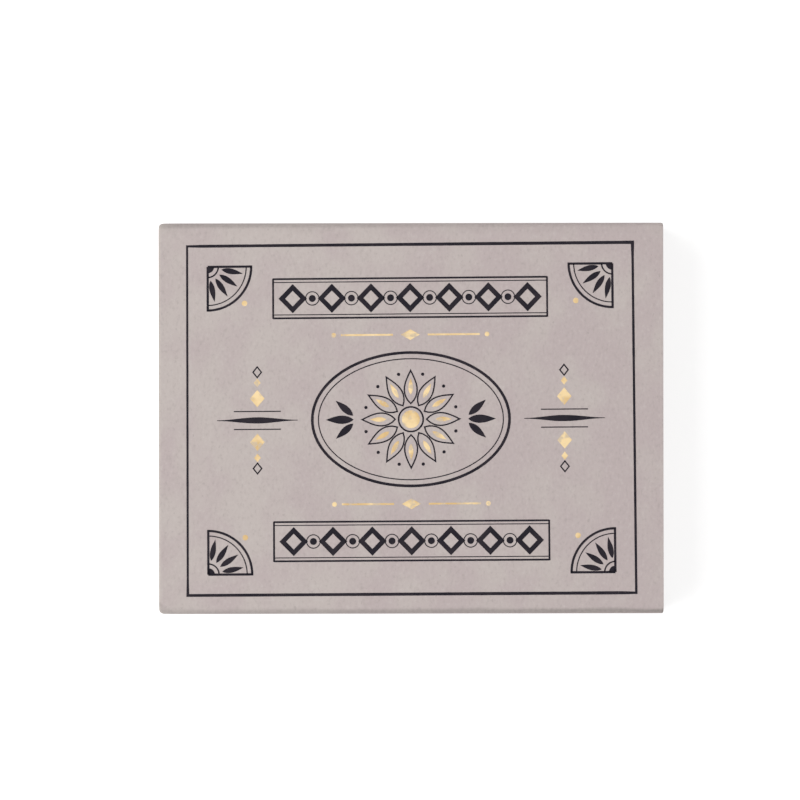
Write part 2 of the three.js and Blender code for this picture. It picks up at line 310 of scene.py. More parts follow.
class Nodes:
    """The node tree of a material or world, with one short call for each node."""

    # The Mix node's sockets for colours
    MIX_INPUTS = (0, 6, 7)
    MIX_OUTPUT = 2

    def __init__(self, owner, shader="Principled BSDF"):
        self.owner = owner
        self.tree = owner.node_tree
        self.shader = self.tree.nodes[shader]

    def put(self, value, socket):
        if isinstance(value, bpy.types.NodeSocket):
            self.tree.links.new(value, socket)
        else:
            socket.default_value = value

    def add(self, kind, inputs=None, **settings):
        node = self.tree.nodes.new("ShaderNode" + kind)
        for key, value in settings.items():
            setattr(node, key, value)
        for key, value in (inputs or {}).items():
            self.put(value, node.inputs[key])
        return node

    def scaled(self, place, scale):
        return self.add("Mapping", {"Vector": place, "Scale": scale}).outputs["Vector"]

    def place(self, scale):
        """A place in the part's own space. The scale says how many spots of a texture a metre holds."""
        return self.scaled(self.add("TexCoord").outputs["Object"], scale)

    def attribute(self, name, output="Fac"):
        return self.add("Attribute", attribute_name=name).outputs[output]

    def cloud(self, place, detail=3.0, roughness=0.5):
        inputs = {"Vector": place, "Scale": 1.0, "Detail": detail, "Roughness": roughness}
        return self.add("TexNoise", inputs).outputs["Fac"]

    def ramp(self, value, low, high, to_low=0.0, to_high=1.0):
        """A smooth step: a value that goes from low to high comes out going from to_low to to_high."""
        inputs = {"Value": value, "From Min": low, "From Max": high, "To Min": to_low, "To Max": to_high}
        return self.add("MapRange", inputs, interpolation_type="SMOOTHSTEP").outputs["Result"]

    def blend(self, share, first, second):
        node = self.add("Mix", data_type="RGBA")
        for value, socket in zip((share, first, second), self.MIX_INPUTS):
            self.put(value, node.inputs[socket])
        return node.outputs[self.MIX_OUTPUT]

    def sum(self, first, second):
        return self.add("Math", {0: first, 1: second}, operation="ADD").outputs[0]

    def times(self, first, second):
        return self.add("Math", {0: first, 1: second}, operation="MULTIPLY").outputs[0]

    def bump(self, height, distance, strength):
        inputs = {"Height": height, "Distance": distance, "Strength": strength}
        return self.add("Bump", inputs).outputs["Normal"]

    def seen_directly(self):
        path = self.add("LightPath").outputs
        mirrored = self.sum(path["Is Glossy Ray"], path["Is Transmission Ray"])
        return self.add("Math", {0: path["Is Camera Ray"], 1: mirrored}, operation="MAXIMUM").outputs[0]

    def finish(self, **inputs):
        for key, value in inputs.items():
            self.put(value, self.shader.inputs[key.replace("_", " ")])
        return self.owner


def linear(share):
    return share / 12.92 if share <= 0.04045 else ((share + 0.055) / 1.055) ** 2.4


def rgb(red, green, blue):
    """Linear colour from sRGB values of 0 to 255."""
    return (*[linear(value / 255) for value in (red, green, blue)], 1)


CARD_ROSE = rgb(188, 175, 174)
CARD_GREEN = rgb(193, 183, 179)
CARD_DARK = rgb(168, 158, 155)
CARD_PALE = rgb(204, 196, 192)
CARD_WORN = rgb(203, 197, 189)
# Painted shade for the sleeve's upper folds and crushed corner
CARD_PAINTED_SHADE = rgb(150, 143, 139)
CORE_DARK = rgb(176, 167, 160)
CORE_PALE = rgb(207, 200, 192)
CORE_SOILED = rgb(158, 149, 144)
INK_BLUE = rgb(24, 21, 30)
INK_BROWN = rgb(38, 33, 40)
INK_THIN = rgb(86, 78, 82)
GOLD_DEEP = rgb(206, 174, 122)
GOLD_PALE = rgb(232, 206, 158)
GOLD_MISSED = rgb(206, 188, 162)
BRASS = (0.82, 0.59, 0.26, 1)
BRASS_TARNISHED = (0.58, 0.39, 0.16, 1)
BRASS_BRIGHT = (0.93, 0.74, 0.42, 1)
FLOOR_GREYS = ((0.5, 0.5, 0.5, 1), (0.52, 0.52, 0.52, 1))
WHITE = (1, 1, 1, 1)

# How fast the card turns rosier and darker along X, as painted light that falls off from low X, and how far
# the brass's texture moves on from clip to clip
PAINTED_LIGHT_DRIFT = -1.9
BRASS_SHIFT = 7


def card_material(name):
    """Uncoated grey card: soft blotches of two hues, a fine mottle of fibres and a few dark flecks, with
    painted light that fades along X and painted shade where a piece marks it.
    """
    nodes = Nodes(new_material(name))
    blotch = nodes.cloud(nodes.place((150, 110, 150)), detail=2.5)
    fibres = nodes.cloud(nodes.place((2100, 1350, 1700)), detail=4, roughness=0.6)
    grain = nodes.cloud(nodes.place((5200, 5200, 5200)), detail=2)
    fleck = nodes.cloud(nodes.place((1500, 900, 1500)), detail=1)
    along = nodes.add("SeparateXYZ", {"Vector": nodes.place((1, 1, 1))}).outputs["X"]
    # Random blotches of tone, plus painted light: paler and greener towards low X, darker and rosier
    # towards high X
    tone_and_painted_light = nodes.sum(blotch, nodes.times(along, PAINTED_LIGHT_DRIFT))
    colour = nodes.blend(nodes.ramp(tone_and_painted_light, 0.34, 0.7), CARD_ROSE, CARD_GREEN)
    colour = nodes.blend(nodes.ramp(fibres, 0.5, 0.8, to_high=0.5), colour, CARD_PALE)
    colour = nodes.blend(nodes.ramp(fibres, 0.5, 0.2, to_high=0.6), colour, CARD_DARK)
    colour = nodes.blend(nodes.ramp(fleck, 0.74, 0.8, to_high=0.5), colour, CARD_DARK)
    worn = nodes.times(nodes.attribute("wear"), nodes.ramp(fibres, 0.3, 0.7, to_low=0.35))
    colour = nodes.blend(worn, colour, CARD_WORN)
    # Painted shade on the sleeve's upper folds and crushed corner, broken up by the fibres
    painted_shade = nodes.times(nodes.attribute("painted_fold_shade"), nodes.ramp(fibres, 0.3, 0.7, to_low=1.0, to_high=0.7))
    colour = nodes.blend(painted_shade, colour, CARD_PAINTED_SHADE)
    height = nodes.sum(nodes.times(fibres, 0.7), nodes.times(grain, 0.3))
    return nodes.finish(
        Base_Color=colour,
        Roughness=nodes.ramp(fibres, 0.2, 0.8, to_low=0.82, to_high=0.95),
        Specular_IOR_Level=0.25,
        Normal=nodes.bump(height, distance=0.05 * MM, strength=0.5),
    )


def core_material():
    """The cut edge of the card, with its compacted layers."""
    nodes = Nodes(new_material("card_core"))
    layers = nodes.cloud(nodes.place((700, 700, 5000)), detail=3, roughness=0.6)
    lumps = nodes.cloud(nodes.place((2600, 2600, 2600)))
    colour = nodes.blend(nodes.ramp(layers, 0.3, 0.7), CORE_DARK, CORE_PALE)
    colour = nodes.blend(nodes.ramp(lumps, 0.6, 0.8, to_high=0.4), colour, CORE_SOILED)
    return nodes.finish(
        Base_Color=colour,
        Roughness=nodes.ramp(lumps, 0.3, 0.7, to_low=0.88, to_high=0.98),
        Specular_IOR_Level=0.2,
        Normal=nodes.bump(nodes.sum(layers, lumps), distance=0.06 * MM, strength=0.6),
    )


def ink_material():
    """Dark printing ink on card, thinner where the tooth of the card stands up."""
    nodes = Nodes(new_material("print_ink"))
    tooth = nodes.cloud(nodes.place((2300, 900, 2300)), roughness=0.6)
    patch = nodes.cloud(nodes.place((260, 260, 260)), detail=2)
    colour = nodes.blend(nodes.ramp(patch, 0.35, 0.65), INK_BLUE, INK_BROWN)
    colour = nodes.blend(nodes.ramp(tooth, 0.6, 0.85, to_high=0.45), colour, INK_THIN)
    return nodes.finish(
        Base_Color=colour,
        Roughness=nodes.ramp(tooth, 0.3, 0.7, to_low=0.55, to_high=0.75),
        Specular_IOR_Level=0.15,
        Normal=nodes.bump(tooth, distance=0.03 * MM, strength=0.5),
    )


def foil_material():
    """Stamped gold foil, which has taken unevenly on the rough card."""
    nodes = Nodes(new_material("print_foil"))
    patch = nodes.cloud(nodes.place((900, 900, 900)), roughness=0.6)
    tone = nodes.cloud(nodes.place((320, 320, 320)), detail=2)
    gold = nodes.blend(nodes.ramp(tone, 0.35, 0.65), GOLD_DEEP, GOLD_PALE)
    missed = nodes.ramp(patch, 0.5, 0.64, to_high=0.85)
    return nodes.finish(
        Base_Color=nodes.blend(missed, gold, GOLD_MISSED),
        Metallic=nodes.ramp(missed, 0.1, 0.8, to_low=0.45, to_high=0.0),
        Roughness=nodes.ramp(patch, 0.3, 0.7, to_low=0.42, to_high=0.65),
        Normal=nodes.bump(patch, distance=0.03 * MM, strength=0.4),
    )


def brass_material():
    """Drawn brass wire: fine lines along its length and a little tarnish."""
    nodes = Nodes(new_material("brass_wire"))
    place = nodes.attribute("wire_place", "Vector")
    lines = nodes.cloud(nodes.scaled(place, (7, 7, 0.35)), detail=4)
    tarnish = nodes.cloud(nodes.scaled(place, (0.7, 0.7, 0.5)))
    haze = nodes.cloud(nodes.place((520, 520, 520)), detail=2)
    colour = nodes.blend(nodes.ramp(tarnish, 0.45, 0.75), BRASS, BRASS_TARNISHED)
    colour = nodes.blend(nodes.ramp(lines, 0.5, 0.8, to_high=0.4), colour, BRASS_BRIGHT)
    hazy = nodes.ramp(haze, 0.3, 0.7, to_low=0.16, to_high=0.28)
    return nodes.finish(
        Base_Color=colour,
        Metallic=1.0,
        Roughness=nodes.sum(hazy, nodes.ramp(lines, 0.4, 0.8, to_high=0.12)),
        Normal=nodes.bump(lines, distance=0.012 * MM, strength=0.5),
    )


# Folded card

def folded_side(corners, radii, parts):
    """One side of folded card seen from its edge. Each inner corner is rounded, and parts says into how
    many pieces each flat panel is cut."""
    corners = [Vector(corner) for corner in corners]
    points = [corners[0]]
    for i, radius in enumerate(radii, start=1):
        arriving = (corners[i] - corners[i - 1]).normalized()
        leaving = (corners[i + 1] - corners[i]).normalized()
        turn = math.copysign(1, arriving.x * leaving.y - arriving.y * leaving.x)
        swing = arriving.angle(leaving)
        first = corners[i] - arriving * radius * math.tan(swing / 2)
        centre = first + turn * radius * left_of(arriving)
        points += panel(points[-1], first, parts[i - 1])
        for k in range(FOLD_STEPS + 1):
            points.append(centre + Vector(turned(first - centre, turn * swing * k / FOLD_STEPS)))
    return points + panel(points[-1], corners[-1], parts[-1]) + [corners[-1]]


def panel(start, end, parts):
    """The points inside a panel. parts is a count, or the places of the points as shares."""
    shares = parts if isinstance(parts, list) else [k / parts for k in range(1, parts)]
    return [start.lerp(end, share) for share in shares]


def spaced(low, high, spacing):
    """Places from low to high, with one close to each end for the soft edge."""
    count = max(math.ceil((high - low) / spacing), 1)
    inside = [mix(low, high, k / count) for k in range(1, count)]
    return [low, low + EDGE_SOFTNESS, *inside, high - EDGE_SOFTNESS, high]


def along_x(point, place):
    return (place, point.x, point.y)


def along_y(point, place):
    return (point.x, place, point.y)


def along_z(point, place):
    return (point.x, point.y, place)


class CardMesh:
    """Strips of card gathered into one mesh. Each is pushed along an axis through its sections."""

    def __init__(self):
        self.vertices = []
        self.faces = []
        self.face_materials = []

    def face(self, corners, is_cut):
        self.faces.append(corners)
        self.face_materials.append(int(is_cut))

    def strip(self, side_at, places, to_space, cut=True):
        """side_at gives the points of the card's outer or inner side at a place. The strip's ends are cut
        edges, unless its card goes on in the next strip."""
        rings = []
        for place in places:
            outer, inner = side_at(place, False), side_at(place, True)
            if cut and place in (places[0], places[-1]):
                outer, inner = self.drawn_in(outer, inner), self.drawn_in(inner, outer)
            outer, inner = self.soft_ended(outer, inner), self.soft_ended(inner, outer)
            first = len(self.vertices)
            self.vertices += [to_space(point, place) for point in outer + inner[::-1]]
            rings.append(range(first, len(self.vertices)))
        size = len(rings[0])
        half = size // 2
        cut_edges = (0, half - 2, half - 1, half, size - 2, size - 1)
        for before, after in zip(rings, rings[1:]):
            for k in range(size):
                beside = (k + 1) % size
                self.face((before[k], before[beside], after[beside], after[k]), k in cut_edges)
        for ring in (rings[0], rings[-1]):
            for k in range(half - 1):
                self.face((ring[k], ring[k + 1], ring[size - 2 - k], ring[size - 1 - k]), cut)

    @staticmethod
    def drawn_in(side, other):
        pairs = zip(side, other)
        return [point + (across - point).normalized() * EDGE_SOFTNESS for point, across in pairs]

    @staticmethod
    def soft_ended(side, other):
        head = side[0] + (side[1] - side[0]).normalized() * EDGE_SOFTNESS
        tail = side[-1] + (side[-2] - side[-1]).normalized() * EDGE_SOFTNESS
        first = side[0] + (other[0] - side[0]).normalized() * EDGE_SOFTNESS
        last = side[-1] + (other[-1] - side[-1]).normalized() * EDGE_SOFTNESS
        return [first, head, *side[1:-1], tail, last]

    def build(self, name, node, materials, marks):
        """marks are the functions that say how strongly each point is marked by one kind of wear or of
        painted shade.
        """
        piece = add_piece(name, node, self.vertices, self.faces, materials, self.face_materials)
        for kind, mark_at in marks.items():
            mark = piece.data.attributes.new(kind, "FLOAT", "POINT")
            mark.data.foreach_set("value", [mark_at(vertex.co) for vertex in piece.data.vertices])
        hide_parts(node)


# Sleeve

def face_rows():
    """Where the face's rows of points lie, as shares from its front to its back. They are finer along
    its front, where the crushed corner is."""
    fine = [k * FINE_SHARE for k in range(1, FINE_ROWS)]
    return fine + [mix(FINE_ROWS * FINE_SHARE, 1, k / FACE_PARTS) for k in range(FACE_PARTS)]


SLEEVE_PARTS = (WALL_PARTS, face_rows(), WALL_PARTS, BOTTOM_PARTS, FLAP_PARTS)


def corner_crush(x, y):
    """1 at the crushed corner's tip, 0 where the crushed part ends, and less beyond."""
    return 1 - (x - sleeve_low.x) / CRUSHED_CORNER[0] - (y - sleeve_low.y) / CRUSHED_CORNER[1]


def face_height(x, y, inside=False):
    """The printed face's height above a true plane, below 0 where it sags, waves or is crushed."""
    across = 1 - min(abs(y) / sleeve_high.y, 1) ** 2
    along = 1 - SAG_LOST_AT_ENDS * min(abs(x) / sleeve_high.x, 1) ** 2
    wave = noise.noise(Vector((x * FACE_WAVE_RATE, y * FACE_WAVE_RATE, FACE_WAVE_SEED))) - 1
    crushed = CRUSHED_CORNER_DEPTH * max(corner_crush(x, y), 0)
    return across * (FACE_WAVE * wave - FACE_SAG * along) - crushed * (WEAR_OF_INSIDE if inside else 1)


def corner_wear(x, inside=False):
    """How far the side walls are worn in at each end of the sleeve."""
    worn = 0
    for end, length, depth in zip((sleeve_low.x, sleeve_high.x), CORNER_WEAR_LENGTHS, CORNER_WEAR_DEPTHS):
        distance = min(abs(x - end) / length, 1)
        worn += depth * (1 - math.sqrt(1 - (1 - distance) ** 2))
    return worn * (WEAR_OF_INSIDE if inside else 1)


def upper_fold_radius(radii, x, seed):
    wobble = FOLD_WOBBLE * noise.noise(Vector((x * FOLD_WOBBLE_RATE, seed, 0)))
    return mix(*radii, share_between(x, sleeve_low.x, sleeve_high.x)) + wobble


def flap_top(x):
    from_end = min(x - sleeve_low.x, sleeve_high.x - x)
    return CARD + mix(FOLD_RADIUS + CUT_GAP, FLAP_HEIGHT, share_between(from_end, 0, FLAP_TAPER))


def sleeve_side(x, inside):
    """The wrap at a place along the sleeve, from the front wall over the top and round to the flap, which
    stands inside the front wall."""
    inset = CARD if inside else 0
    worn = corner_wear(x, inside)
    front = sleeve_low.y + inset + worn
    back = sleeve_high.y - inset - worn
    top = SLEEVE_HEIGHT - inset
    flap = sleeve_low.y + SEAM_WALL - CARD + inset + corner_wear(x, True)
    corners = [
        (front, CUT_GAP),
        (front, top),
        (back, top),
        (back, inset),
        (flap, inset),
        (flap, flap_top(x)),
    ]
    radii = [
        upper_fold_radius(FRONT_FOLD_RADII, x, FRONT_FOLD_SEED) - inset,
        upper_fold_radius(BACK_FOLD_RADII, x, BACK_FOLD_SEED) - inset,
        FOLD_RADIUS - inset,
        FOLD_RADIUS - inset,
    ]
    points = folded_side(corners, [max(radius, EDGE_SOFTNESS) for radius in radii], SLEEVE_PARTS)
    bottom_and_flap = BOTTOM_PARTS + FOLD_STEPS + FLAP_PARTS
    for point in points[:-bottom_and_flap]:
        upper = smooth_share(point.y, SLEEVE_HEIGHT / 2, top)
        point.y += face_height(x, point.x, inside) * upper
    return points


def sleeve_wear(point):
    """The ends and corners are paler where they were rubbed."""
    from_end = min(point.x - sleeve_low.x, sleeve_high.x - point.x)
    from_side = min(point.y - sleeve_low.y, sleeve_high.y - point.y)
    near_end = 1 - smooth_share(from_end, 0, END_WEAR_REACH)
    near_corner = 1 - smooth_share(from_end + from_side, 0, CORNER_WEAR_REACH)
    strength = mix(*END_WEAR, share_between(point.x, sleeve_low.x, sleeve_high.x))
    return max(strength * near_end, (strength + CORNER_EXTRA_WEAR) * near_corner)


def sleeve_painted_shade(point):
    """Painted shade on the upper folds and the crushed corner, which makes them darker."""
    along = share_between(point.x, sleeve_low.x, sleeve_high.x)
    strength = mix(*(FRONT_PAINTED_SHADE if point.y < 0 else BACK_PAINTED_SHADE), along)
    from_side = min(point.y - sleeve_low.y, sleeve_high.y - point.y)
    wander = noise.noise(Vector((point.x * PAINTED_SHADE_WANDER_RATE, point.y, PAINTED_SHADE_WANDER_SEED)))
    reach = PAINTED_SHADE_REACH + PAINTED_SHADE_WANDER * wander
    # Painted shade across the fold, fading out near the very edge
    fold_shade = 1 - smooth_share(from_side, *[share * reach for share in PAINTED_SHADE_FALL])
    fold_shade *= smooth_share(from_side, *[share * reach for share in PAINTED_SHADE_RISE])
    near_top = 1 - smooth_share(SLEEVE_HEIGHT - point.z, *PAINTED_SHADE_DEPTHS)
    # Painted shade on the crushed corner's facet
    crushed = CRUSHED_CORNER_SHADE * smooth_share(corner_crush(point.x, point.y), *CRUSHED_CORNER_SHADE_EDGE)
    crushed *= smooth_share(from_side, 0, CRUSHED_CORNER_SHADE_FADE)
    return max(strength * fold_shade, crushed) * near_top


def make_sleeve(card, core):
    mesh = CardMesh()
    places = spaced(sleeve_low.x, sleeve_high.x, SLEEVE_SECTION)
    for distance in END_SECTIONS:
        places += [sleeve_low.x + distance, sleeve_high.x - distance]
    places += [sleeve_low.x + distance for distance in CRUSHED_CORNER_SECTIONS]
    mesh.strip(sleeve_side, sorted(places), along_x)
    # Wear, and painted shade on the upper folds and the crushed corner
    mesh.build("sleeve_card", "sleeve", [card, core], {"wear": sleeve_wear, "painted_fold_shade": sleeve_painted_shade})


# Tray

def make_tray(card, core):
    mesh = CardMesh()
    middle = (tray_low.y + tray_high.y) / 2
    base = tray_low.z
    top = tray_high.z
    half_length = tray_high.x
    half_width = tray_high.y - middle
    tab_outer = half_length - CARD + GLUE_BED
    wall_end = tab_outer - FOLD_RADIUS
    fold_top = base + FOLD_RADIUS + CUT_GAP
    roll_radius = END_WALL / 2
    roll_z = top - roll_radius
    roll_half = half_width - CARD - CUT_GAP

    def walls(x, inside):
        inset = CARD if inside else 0
        side = half_width - inset
        corners = [(-side, top), (-side, base + inset), (side, base + inset), (side, top)]
        points = folded_side(corners, [FOLD_RADIUS - inset] * 2, TRAY_PARTS)
        lean = WALL_LEAN * (1 - (x / half_length) ** 2)
        for point in points:
            point.x += middle - math.copysign(lean, point.x) * smooth_share(point.y, base, top)
        return points

    def tab(side, end):
        def side_at(z, inside):
            inset = CARD - TUCK if inside else TUCK
            wall_y = middle + side * (half_width - inset)
            tab_x = end * (tab_outer - inset)
            tip_y = middle + side * (half_width - TAB_LENGTH)
            corners = [(end * (wall_end - CUT_GAP), wall_y), (tab_x, wall_y), (tab_x, tip_y)]
            return folded_side(corners, [FOLD_RADIUS - inset], TAB_PARTS)
        return side_at

    def end_panel(end):
        def side_at(y, inside):
            inset = CARD - TUCK if inside else TUCK
            x = end * (half_length - inset)
            corners = [(end * (wall_end - CUT_GAP), base + inset), (x, base + inset), (x, roll_z + CUT_GAP)]
            return folded_side(corners, [FOLD_RADIUS - inset], END_PANEL_PARTS)
        return side_at

    def roll(end):
        def side_at(y, inside):
            inset = CARD if inside else 0
            outside_x = end * (half_length - inset)
            inside_x = end * (half_length - END_WALL + inset)
            corners = [
                (outside_x, roll_z - CUT_GAP),
                (outside_x, top - inset),
                (inside_x, top - inset),
                (inside_x, base + CARD / 2),
            ]
            return folded_side(corners, [roll_radius - inset - ROLL_SLACK] * 2, ROLL_PARTS)
        return side_at

    mesh.strip(walls, spaced(-wall_end, wall_end, TRAY_SECTION), along_x, cut=False)
    for end in (-1, 1):
        for side in (-1, 1):
            mesh.strip(tab(side, end), spaced(fold_top, top - TAB_DROP, TRAY_SECTION), along_z)
        for side_at, half in ((end_panel(end), half_width), (roll(end), roll_half)):
            mesh.strip(side_at, spaced(middle - half, middle + half, TRAY_SECTION), along_y)

    def wear_at(point):
        near_top = 1 - smooth_share(top - point.z, 0, RIM_WEAR_REACH)
        near_end = 1 - smooth_share(half_length - abs(point.x), 0, TRAY_END_WEAR_REACH)
        return max(RIM_WEAR * near_top, TRAY_END_WEAR * near_end)

    mesh.build("tray_card", "tray", [card, core], {"wear": wear_at})


# Clips

def wire_path(start, bends, end, steps):
    """Stations along straight runs joined by bends: point, heading, bend, and the share round it."""
    line = [(start, 0, 0), *bends, (end, 0, 0)]
    headings = []
    for (centre, radius, turn), (next_centre, next_radius, next_turn) in zip(line, line[1:]):
        span = next_centre - centre
        across = turn * radius - next_turn * next_radius
        headings.append(math.atan2(span.y, span.x) + math.asin(across / span.length))
    stations = [(start, headings[0], -1, 0)]
    for i, (centre, radius, turn) in enumerate(bends):
        swing = (turn * (headings[i + 1] - headings[i])) % (2 * math.pi)
        count = math.ceil(swing / (steps[0] if radius > TIGHT_BEND else steps[1]))
        for k in range(count + 1):
            heading = headings[i] + turn * swing * k / count
            left = Vector((-math.sin(heading), math.cos(heading)))
            stations.append((centre - turn * radius * left, heading, i, k / count))
    return stations + [(end, headings[-1], len(bends), 1)]


def clip_stations(steps):
    """The wire's line in the clip's own frame, with its loops towards +X: place, heading, and how far
    the wire is squeezed there by a tight bend, from 0 to 1."""
    half_base = (CLIP_WIDTH - WIRE) / 2
    loop_rise = CLIP_HEIGHT - WIRE - LOOP_RADIUS
    neck_x = NECK_WIDTH / 2 + NECK_RADIUS
    neck_reach = GRIP_RADIUS + NECK_RADIUS + NECK_STRETCH
    neck_rise = GRIP_RISE + math.sqrt(neck_reach ** 2 - neck_x ** 2)
    right = [
        (Vector((half_base - CORNER_RADIUS, CORNER_RADIUS)), CORNER_RADIUS, 1),
        (Vector((LOOP_SPACING / 2, loop_rise)), LOOP_RADIUS, -1),
        (Vector((neck_x, neck_rise)), NECK_RADIUS, 1),
    ]
    grip = (Vector((0, GRIP_RISE)), GRIP_RADIUS, -1)
    left = [(Vector((-centre.x, centre.y)), radius, turn) for centre, radius, turn in reversed(right)]
    bends = [*right, grip, *left]
    ends = [Vector((side * END_GAP / 2, 0)) for side in (1, -1)]
    right_loop, left_loop = 1, len(bends) - 2
    stations = []
    for point, heading, bend, share in wire_path(ends[0], bends, ends[1], steps):
        passed = [share if bend == loop else float(bend > loop) for loop in (right_loop, left_loop)]
        height = (WIRE + CROSSING_GAP) / 2 * math.cos(math.pi * (passed[0] - passed[1]))
        place = Vector((point.y + WIRE / 2 - CLIP_HEIGHT / 2, -point.x, height))
        tight = 0 <= bend < len(bends) and bends[bend][1] < TIGHT_BEND
        stations.append((place, heading, math.sin(math.pi * share) if tight else 0))
    return stations


def wire_rings(stations, sides, radius, first_angle, squeeze=0.0):
    """Rings of points round the wire. In a tight bend the section is squeezed flatter."""
    rings = []
    for i, (place, heading, tightness) in enumerate(stations):
        before = stations[max(i - 1, 0)][0]
        after = stations[min(i + 1, len(stations) - 1)][0]
        climb = (after.z - before.z) / (after - before).length
        along = Vector((math.sin(heading), -math.cos(heading), climb)).normalized()
        sideways = Vector((math.cos(heading), math.sin(heading), 0))
        upward = along.cross(sideways)
        flat = squeeze * tightness
        ring = []
        for k in range(sides):
            angle = first_angle + k * 2 * math.pi / sides
            out = sideways * math.cos(angle) * (1 - flat)
            out += upward * math.sin(angle) * (1 + BEND_SWELL * flat)
            ring.append(place + radius * out)
        rings.append(ring)
    return rings


def frame_outline():
    """The frame's own points for a clip, seen from above."""
    radius = WIRE / 2 / math.cos(math.pi / FRAME_SIDES)
    rings = wire_rings(clip_stations(FRAME_STEPS), FRAME_SIDES, radius, math.pi / FRAME_SIDES)
    return np.array([point[:2] for ring in rings for point in ring])


def wire_mesh():
    """The wire in the clip's own frame: its points, its faces, and how far along it each ring is."""
    stations = clip_stations(WIRE_STEPS)
    inward = (stations[1][0] - stations[0][0]).normalized() * END_CHAMFER
    stations.insert(1, (stations[0][0] + inward, *stations[0][1:]))
    outward = (stations[-2][0] - stations[-1][0]).normalized() * END_CHAMFER
    stations.insert(-1, (stations[-1][0] + outward, *stations[-1][1:]))
    rings = wire_rings(stations, WIRE_SIDES, WIRE / 2, 0, BEND_SQUEEZE)
    for ring, (place, *_) in ((rings[0], stations[0]), (rings[-1], stations[-1])):
        ring[:] = [place + (point - place) * (1 - END_CHAMFER / (WIRE / 2)) for point in ring]

    lengths = [0]
    for (place, *_), (after, *_) in zip(stations, stations[1:]):
        lengths.append(lengths[-1] + (after - place).length)
    points = [point for ring in rings for point in ring]
    faces = []
    for i in range(len(rings) - 1):
        for k in range(WIRE_SIDES):
            first, beside = i * WIRE_SIDES + k, i * WIRE_SIDES + (k + 1) % WIRE_SIDES
            faces.append((first, beside, beside + WIRE_SIDES, first + WIRE_SIDES))
    faces.append(list(range(WIRE_SIDES)))
    faces.append(list(range(len(points) - WIRE_SIDES, len(points))))
    return points, faces, lengths


def wire_places(lengths, shift):
    """Each point's place round the wire and along it, for the lines that drawing left in the brass."""
    places = []
    for length in lengths:
        for k in range(WIRE_SIDES):
            angle = k * 2 * math.pi / WIRE_SIDES
            places += [math.cos(angle), math.sin(angle), length / MM + shift]
    return places


def turned_box(points, yaw):
    turn = np.array([[math.cos(yaw), math.sin(yaw)], [-math.sin(yaw), math.cos(yaw)]])
    places = points @ turn
    return places.min(axis=0), places.max(axis=0)


def largest_yaw(points, room):
    fits, too_far = 0, YAW_LIMIT
    for _ in range(YAW_HALVINGS):
        yaw = (fits + too_far) / 2
        low, high = turned_box(points, yaw)
        if np.all(high - low <= room):
            fits = yaw
        else:
            too_far = yaw
    return fits


def clip_place(points, index):
    """Where a clip lies in the tray, as the frame has it: position, yaw, and whether it lies face down."""
    per_layer = CLIP_ROWS * CLIP_COLUMNS
    layer = index // per_layer
    columns = math.ceil(min(CLIP_COUNT - layer * per_layer, per_layer) / CLIP_ROWS)
    row = index % CLIP_ROWS
    column = index % per_layer // CLIP_ROWS
    inside_x = 2 * (tray_high.x - END_WALL)
    inside_y = tray_high.y - tray_low.y - 2 * CARD
    cell = np.array([(inside_x - REST_GAP) / CLIP_ROWS, (inside_y - REST_GAP) / columns])
    room = cell - REST_GAP

    def scatter(start):
        return (start + index * SCATTER_STEP) % 1

    yaw = (2 * scatter(YAW_START) - 1) * largest_yaw(points, room)
    low, high = turned_box(points, yaw)
    spare = room - (high - low)
    head_to_tail = (row + column + layer) % 2 == 1
    corner = np.array([(row - CLIP_ROWS / 2) * cell[0], (columns / 2 - 1 - column) * cell[1]])
    corner += REST_GAP / 2
    share_across = 1 if columns < CLIP_COLUMNS else scatter(ACROSS_START)
    shift = spare * np.array([scatter(ALONG_START), share_across])
    x, y = corner - (-high if head_to_tail else low) + shift
    level = CARD + REST_GAP + CLIP_THICKNESS / 2 + layer * (CLIP_THICKNESS + REST_GAP)
    position = Vector((x, y + (tray_low.y + tray_high.y) / 2, tray_low.z + level))
    return position, yaw + (math.pi if head_to_tail else 0), scatter(FACE_START) < FACE_DOWN_SHARE


def make_clips(brass):
    outline = frame_outline()
    points, faces, lengths = wire_mesh()
    for index in range(CLIP_COUNT):
        position, yaw, face_down = clip_place(outline, index)
        flip = -1 if face_down else 1
        placed = []
        for point in points:
            x, y = turned(point, yaw)
            placed.append(position + Vector((x, flip * y, flip * point.z)))
        number = f"{index + 1:02d}"
        clip = add_piece(f"clip_wire_{number}", "tray", placed, faces, [brass])
        wire_place = clip.data.attributes.new("wire_place", "FLOAT_VECTOR", "POINT")
        wire_place.data.foreach_set("vector", wire_places(lengths, BRASS_SHIFT * index))
        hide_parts(f"clip_{number}")


# Printed label

def on_face(point, lift):
    """The place on the sleeve's face for a place on the label."""
    across = (point.x / LABEL_HALF[0] + 1) / 2
    up = (point.y / LABEL_HALF[1] + 1) / 2
    top = Vector(LABEL_TOP[0]).lerp(Vector(LABEL_TOP[1]), across)
    bottom = Vector(LABEL_BOTTOM[0]).lerp(Vector(LABEL_BOTTOM[1]), across)
    x, y = bottom.lerp(top, up) * MM
    return (x, y, SLEEVE_HEIGHT + face_height(x, y) + lift)


